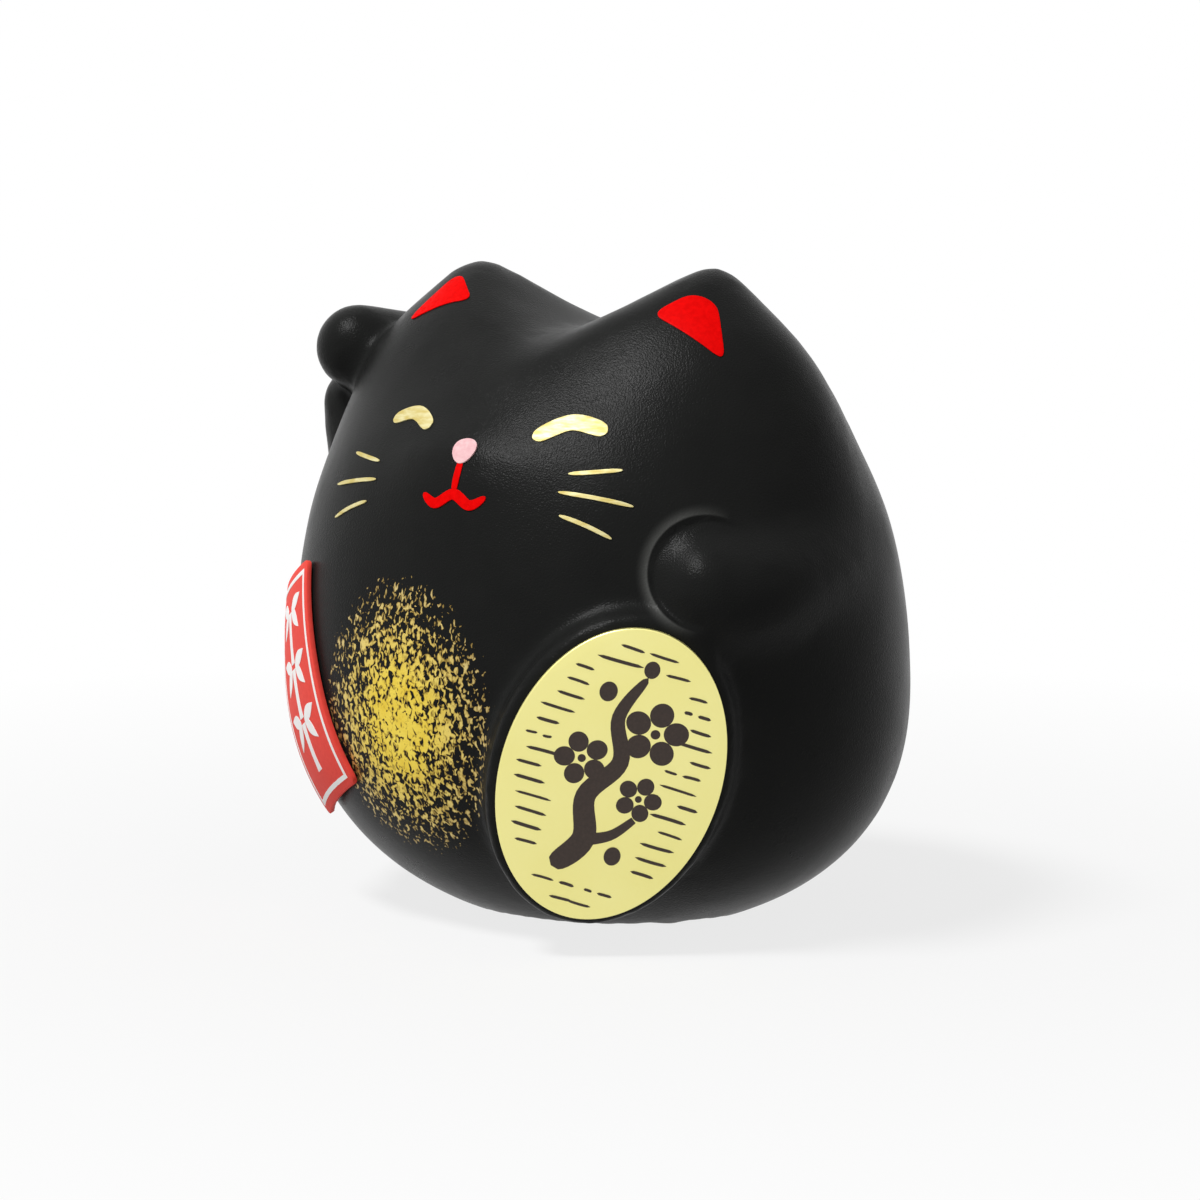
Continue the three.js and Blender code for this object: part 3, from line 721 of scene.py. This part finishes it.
def brushed_eye(side):
    turn = Matrix.Rotation(math.radians(EYE_TURN[side]), 4, "Y")
    return Matrix.Translation(EYE_SHIFT[side]) @ turn @ Matrix.Scale(EYE_SIZE[side], 4)


def nose_drop(material):
    """A round drop of paint, broad above and narrow below, laid on the face from straight ahead."""
    low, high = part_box("nose")
    middle = (Vector(low) + Vector(high)) / 2
    bpy.ops.mesh.primitive_grid_add(x_subdivisions=16, y_subdivisions=16, size=2)
    drop = bpy.context.active_object
    drop.name = "nose_paint"
    for vertex in drop.data.vertices:
        across, up = on_disc(*vertex.co.xy)
        across *= 1 - NOSE_TAPER * (1 - up)
        ahead = middle + Vector((NOSE_HALF_WIDTH * across, -FAR_AHEAD, NOSE_HALF_HEIGHT * up))
        found, place, normal, index = casting.ray_cast(ahead, (0, 1, 0))
        vertex.co = place + normal * FILM_LIFT
    drop.data.update()
    face_towards_front(drop)
    finish_film(drop, "nose", material, "pink_enamel", NOSE_FILM)


pink = enamel("pink_enamel", ENAMEL_PINK, 0.42, gloss=0.03)
red = enamel("red_enamel", ENAMEL_RED, 0.42, gloss=0.015)
gold = enamel("gold_enamel", ENAMEL_GOLD, 0.5, gloss=0.25, metallic=0.3, streaking=UPRIGHT_STREAKS)
longer = Matrix.Diagonal((1, 1, STEM_STRETCH, 1))

nose_drop(pink)
painted_film("mouth_stem", "mouth_stem_paint", red, "red_enamel", STEM_FILM, longer)
painted_film("mouth", "mouth_paint", red, "red_enamel")
for side in ("left", "right"):
    painted_film(f"ear_paint_{side}", f"ear_red_{side}", red, "red_enamel")
    painted_film(f"eye_{side}", f"eye_gold_{side}", gold, "gold_enamel", FILM, brushed_eye(side))
    for level in ("upper", "middle", "lower"):
        painted_film(f"whisker_{side}_{level}", f"whisker_gold_{side}_{level}", gold, "gold_enamel")


# Flat ink shapes, drawn in the frame of the label or the tag
def ink_stroke(path, half_width, steps):
    """A flat stroke; path and half_width are functions of the share drawn, from 0 to 1."""
    bpy.ops.mesh.primitive_grid_add(x_subdivisions=steps, y_subdivisions=2, size=2)
    stroke = bpy.context.active_object
    for vertex in stroke.data.vertices:
        share = (vertex.co.x + 1) / 2
        ahead = path(min(share + STROKE_NUDGE, 1)) - path(max(share - STROKE_NUDGE, 0))
        across = Vector((-ahead.y, ahead.x)).normalized()
        spot = path(share) + across * (half_width(share) * vertex.co.y)
        vertex.co = (spot.x, spot.y, 0)
    return stroke


def ink_dot(centre, radius, stretch=1.0, turn=0.0):
    bpy.ops.mesh.primitive_grid_add(x_subdivisions=10, y_subdivisions=10, size=2)
    dot = bpy.context.active_object
    for vertex in dot.data.vertices:
        x, y = on_disc(*vertex.co.xy)
        vertex.co = (radius * x, radius * stretch * y, 0)
    return placed(dot, Matrix.Translation((*centre, 0)) @ Matrix.Rotation(turn, 4, "Z"))


def round_ends(share, bluntness):
    """1 along most of a stroke, falling to 0 at its two ends."""
    return (1 - abs(2 * share - 1) ** bluntness) ** 0.5


def curve_through(points):
    """A smooth path through points in millimetres, as a function of the share from 0 to 1."""
    points = [Vector(point) * MM for point in points]
    spans = len(points) - 1

    def path(share):
        span = min(int(share * spans), spans - 1)
        along = share * spans - span
        before = points[max(span - 1, 0)]
        start, end = points[span], points[span + 1]
        after = points[min(span + 2, spans)]
        curve = (end - before) * along
        curve += (2 * before - 5 * start + 4 * end - after) * along * along
        curve += (3 * start - before - 3 * end + after) * along * along * along
        return start + curve / 2

    return path


# Gilt label on the coin, printed with hatching and a plum branch
label_frame = face_frame(LABEL_CENTRE, LABEL_AZIMUTH, LABEL_TILT, LABEL_ROLL)


def gilt_label():
    bpy.ops.mesh.primitive_circle_add(vertices=128, radius=1, fill_type="NGON")
    label = bpy.context.active_object
    label.name = "gilt_label"
    edit(label)
    bpy.ops.transform.resize(value=(LABEL_HALF_WIDTH, LABEL_HALF_HEIGHT, 1))
    bpy.ops.mesh.extrude_region_move(TRANSFORM_OT_translate={"value": (0, 0, LABEL_FACE)})
    leave_edit()
    face_outward(label)
    round_edges(label, LABEL_EDGE, segments=3)
    placed(label, label_frame)
    finished(painted(label, gilt_foil()), "gilt_label", "coin_label")


def label_half_width(y):
    """Half of the label's width at a height on it, inside the margin that stays clear of hatching."""
    reach = 1 - (y / (LABEL_HALF_HEIGHT - HATCH_MARGIN)) ** 2
    return (LABEL_HALF_WIDTH - HATCH_MARGIN) * math.sqrt(max(reach, 0))


def dash_ends(chance, clear, edge):
    """Where the dashes on one side of a row start and end: one dash, or one that is broken in two."""
    outer = edge - chance.uniform(0, DASH_INSET) * (edge - clear)
    length = min(chance.uniform(*DASH_LENGTHS), outer - clear + DASH_OVERLAP)
    inner = outer - length
    broken = length > BROKEN_LENGTH and chance.random() < BROKEN_CHANCE
    middle = inner + length * chance.uniform(*BROKEN_PLACES)
    if broken:
        return [(inner, middle - BROKEN_HALF_GAP), (middle + BROKEN_HALF_GAP, outer)]
    return [(inner, outer)]


def dash(chance, start, end, y):
    slant = chance.uniform(-DASH_SLANT, DASH_SLANT)
    bow = chance.uniform(-DASH_BOW, DASH_BOW)
    widest = chance.uniform(*DASH_HALF_WIDTHS)

    def path(share):
        rise = slant * (share - 0.5) + bow * math.sin(math.pi * share)
        return Vector((start + (end - start) * share, y + rise))

    def half_width(share):
        return widest * round_ends(share, DASH_BLUNTNESS) + DASH_TIP

    return ink_stroke(path, half_width, steps=8)


def hatching():
    """Rows of short dashes down both sides, as struck on an old coin, with a few across the ends."""
    chance = random.Random(HATCH_SEED)
    dashes = []
    rows = int(LABEL_HALF_HEIGHT / HATCH_SPACING)
    for row in range(-rows, rows + 1):
        y = (row + HATCH_OFFSET) * HATCH_SPACING
        edge = label_half_width(y)
        clear = BRANCH_HALF_WIDTH if abs(y) < BRANCH_HALF_HEIGHT else MIDDLE_GAP
        if edge < HATCH_LEAST_EDGE or edge - clear < HATCH_LEAST_ROOM:
            continue
        for side in (-1, 1):
            for start, end in dash_ends(chance, clear, edge):
                dashes.append(dash(chance, side * start, side * end, y))
    return dashes


def plum_blossom(x, y, radius, turn):
    """Round petals about a small heart, the first petal at the turn."""
    heart = Vector((x, y)) * MM
    shapes = []
    for petal in range(PETALS):
        angle = turn + petal * math.tau / PETALS
        centre = heart + Vector((math.cos(angle), math.sin(angle))) * (PETAL_REACH * radius * MM)
        shapes.append(ink_dot(centre, PETAL_RADIUS * radius * MM, PETAL_STRETCH, angle + math.pi / 2))
    shapes.append(ink_dot(heart, HEART_RADIUS * radius * MM))
    return shapes


def plum_branch():
    """A branch of plum with blossoms and buds."""

    def bough_half_width(share):
        tapered = (BOUGH_HALF_WIDTH - BOUGH_TAPER * share) * MM
        return tapered * round_ends(share, BOUGH_BLUNTNESS) + STROKE_TIP

    def twig_half_width(share):
        return (TWIG_HALF_WIDTH - TWIG_TAPER * share) * MM

    shapes = [
        ink_stroke(curve_through(BOUGH), bough_half_width, steps=40),
        ink_stroke(curve_through(TWIG), twig_half_width, steps=14),
    ]
    for blossom in BLOSSOMS:
        shapes += plum_blossom(*blossom)
    for x, y, radius in BUDS:
        shapes.append(ink_dot(Vector((x, y)) * MM, radius * MM, BUD_STRETCH))
    return shapes


gilt_label()
brown = printing_ink("brown_ink", INK_BROWN, BROWN_MOTTLE, roughness=0.6)
for name, shapes in (("label_hatching", hatching()), ("label_plum_branch", plum_branch())):
    for layer, shape in enumerate(shapes):
        placed(shape, Matrix.Translation((0, 0, layer * INK_STEP)))
    drawing = joined(shapes, name)
    shaped_by(drawing, "SOLIDIFY", thickness=INK, offset=1)
    placed(drawing, label_frame @ Matrix.Translation((0, 0, LABEL_FACE + LABEL_INK_LIFT)))
    finished(painted(drawing, brown), "gilt_label")

# Red tag, a bent card with a white border line and a sprig of bamboo
tag_frame = face_frame(TAG_CENTRE, TAG_AZIMUTH, TAG_TILT, TAG_ROLL)


def laid_on_belly(piece, lift):
    """Drops a flat piece, drawn in the tag's frame, onto the belly; its back edge springs away."""
    inward = -tag_frame.col[2].xyz
    for vertex in piece.data.vertices:
        back_share = max((TAG_HALF_WIDTH - vertex.co.x) / (2 * TAG_HALF_WIDTH), 0)
        gap = TAG_GLUE + TAG_SPRING * back_share**2
        above = tag_frame @ Vector((*vertex.co.xy, TAG_DROP))
        found, place, normal, index = casting.ray_cast(above, inward)
        vertex.co = place + normal * (gap + lift)
    piece.data.update()


def bent_card():
    bpy.ops.mesh.primitive_grid_add(x_subdivisions=30, y_subdivisions=52, size=2)
    card = bpy.context.active_object
    card.name = "red_tag"
    inner = Vector((TAG_HALF_WIDTH - TAG_CORNER, TAG_HALF_LENGTH - TAG_CORNER))
    for vertex in card.data.vertices:
        x, y = vertex.co.x * TAG_HALF_WIDTH, vertex.co.y * TAG_HALF_LENGTH
        corner = Vector((abs(x) - inner.x, abs(y) - inner.y))
        if min(corner) > 0 and corner.length > TAG_CORNER:
            corner *= TAG_CORNER / corner.length
            x, y = math.copysign(inner.x + corner.x, x), math.copysign(inner.y + corner.y, y)
        vertex.co = (x, y, 0)
    laid_on_belly(card, TAG_THICKNESS)
    shaped_by(card, "SOLIDIFY", thickness=TAG_THICKNESS, offset=-1)
    round_edges(card, TAG_EDGE, segments=2)
    finished(painted(card, red_card()), "red_card", "fortune_tag")


def border_line():
    bpy.ops.mesh.primitive_plane_add(size=2)
    line = bpy.context.active_object
    half_width, half_length = TAG_HALF_WIDTH - BORDER_INSET, TAG_HALF_LENGTH - BORDER_INSET
    edit(line, mode="FACE")
    bpy.ops.transform.resize(value=(half_width, half_length, 1))
    bpy.ops.mesh.inset(thickness=BORDER_WIDTH)
    bpy.ops.mesh.delete(type="FACE")
    leave_edit()
    longest_mitre = 1.5 * BORDER_WIDTH
    edit_edges(line, lambda start, end: (start - end).length > longest_mitre)
    bpy.ops.mesh.subdivide(number_cuts=BORDER_CUTS)
    leave_edit()
    return line


def culm(low, high):
    """One length of the stem between two joints, slim at its middle."""
    start = Vector((0, low + CULM_GAP)) * MM
    end = Vector((0, high - CULM_GAP)) * MM

    def half_width(share):
        return (CULM_WAIST + CULM_FLARE * abs(2 * share - 1) ** 3) * MM

    return ink_stroke(lambda share: start.lerp(end, share), half_width, steps=14)


def bamboo_leaf(x, y, turn):
    root = Vector((x, y)) * MM
    length = Vector((math.cos(turn), math.sin(turn))) * LEAF_LENGTH * MM

    def half_width(share):
        return LEAF_HALF_WIDTH * MM * math.sin(math.pi * share**LEAF_FULLNESS) + STROKE_TIP

    return ink_stroke(lambda share: root + length * share, half_width, steps=14)


def bamboo_sprig():
    """An upright stem in three lengths, with a pair of leaves on each side of its upper joints."""
    shapes = [culm(low, high) for low, high in zip(CULM_JOINTS, CULM_JOINTS[1:])]
    for joint in CULM_JOINTS[1:]:
        shapes += [bamboo_leaf(-LEAF_SPREAD, joint, math.pi - turn) for turn in LEAF_TURNS]
        shapes += [bamboo_leaf(LEAF_SPREAD, joint, turn) for turn in LEAF_TURNS]
    return shapes


bent_card()
white = printing_ink("white_ink", INK_WHITE, WHITE_MOTTLE, roughness=0.55)
for name, shapes in (("tag_border_line", [border_line()]), ("tag_bamboo", bamboo_sprig())):
    drawing = joined(shapes, name)
    laid_on_belly(drawing, TAG_THICKNESS + TAG_INK_LIFT)
    shaped_by(drawing, "SOLIDIFY", thickness=INK, offset=1)
    finished(painted(drawing, white), "red_card")


# Studio
def direction(azimuth, elevation):
    turn, rise = math.radians(azimuth), math.radians(elevation)
    return Vector((math.sin(turn) * math.cos(rise), -math.cos(turn) * math.cos(rise), math.sin(rise)))


def seen_or_mirrored(tree):
    """1 for what the camera sees itself, in a mirroring surface or through a clear one."""
    rays = tree.nodes.new("ShaderNodeLightPath").outputs
    mirrored = maths(tree, "MAXIMUM", rays["Is Glossy Ray"], rays["Is Transmission Ray"])
    return maths(tree, "MAXIMUM", rays["Is Camera Ray"], mirrored)


def white_surroundings():
    world = bpy.data.worlds.new("white_surroundings")
    bpy.context.scene.world = world
    world.use_nodes = True
    tree = world.node_tree
    background = tree.nodes["Background"]
    background.inputs["Color"].default_value = (1, 1, 1, 1)
    strength = spread(tree, seen_or_mirrored(tree), (0, 1), (AMBIENT, 1))
    tree.links.new(strength, background.inputs["Strength"])


def white_paper():
    """Paper that looks white by itself, with a little of its own shade near the figurine."""
    material, tree, paper, place = finish_tree("white_paper")
    paper.inputs["Base Color"].default_value = (*PAPER_GREY, 1)
    paper.inputs["Roughness"].default_value = PAPER_ROUGHNESS
    glow = tree.nodes.new("ShaderNodeEmission")
    mix = tree.nodes.new("ShaderNodeMixShader")
    whiteness = spread(tree, vector_maths(tree, "LENGTH", place), FLOOR_SHADED, FLOOR_WHITENESS)
    tree.links.new(maths(tree, "MULTIPLY", seen_or_mirrored(tree), whiteness), mix.inputs["Fac"])
    tree.links.new(paper.outputs["BSDF"], mix.inputs[1])
    tree.links.new(glow.outputs["Emission"], mix.inputs[2])
    tree.links.new(mix.outputs["Shader"], tree.nodes["Material Output"].inputs["Surface"])
    return material


def paper_floor():
    bpy.ops.mesh.primitive_plane_add(size=FLOOR_WIDTH)
    floor = bpy.context.active_object
    floor.name = "paper_floor"
    painted(floor, white_paper())


def softbox(name, azimuth, elevation, distance, size, power):
    way = direction(azimuth, elevation)
    bpy.ops.object.light_add(type="AREA", location=CAMERA_AIM + way * distance)
    lamp = bpy.context.active_object
    lamp.name = name
    lamp.rotation_euler = way.to_track_quat("Z", "Y").to_euler()
    lamp.data.shape = "ELLIPSE"
    lamp.data.size, lamp.data.size_y = size
    lamp.data.energy = power


def camera():
    bpy.ops.object.camera_add(location=CAMERA_PLACE)
    view = bpy.context.active_object
    view.rotation_euler = (CAMERA_AIM - CAMERA_PLACE).to_track_quat("-Z", "Y").to_euler()
    view.data.sensor_width = CAMERA_SENSOR
    view.data.lens = CAMERA_LENS
    view.data.clip_start = CAMERA_NEAR
    bpy.context.scene.camera = view


bpy.ops.object.select_all(action="DESELECT")
white_surroundings()
paper_floor()
softbox("key_light", azimuth=-24, elevation=60, distance=1, size=(0.36, 0.24), power=11)
camera()
bpy.context.scene.view_settings.view_transform = "Standard"
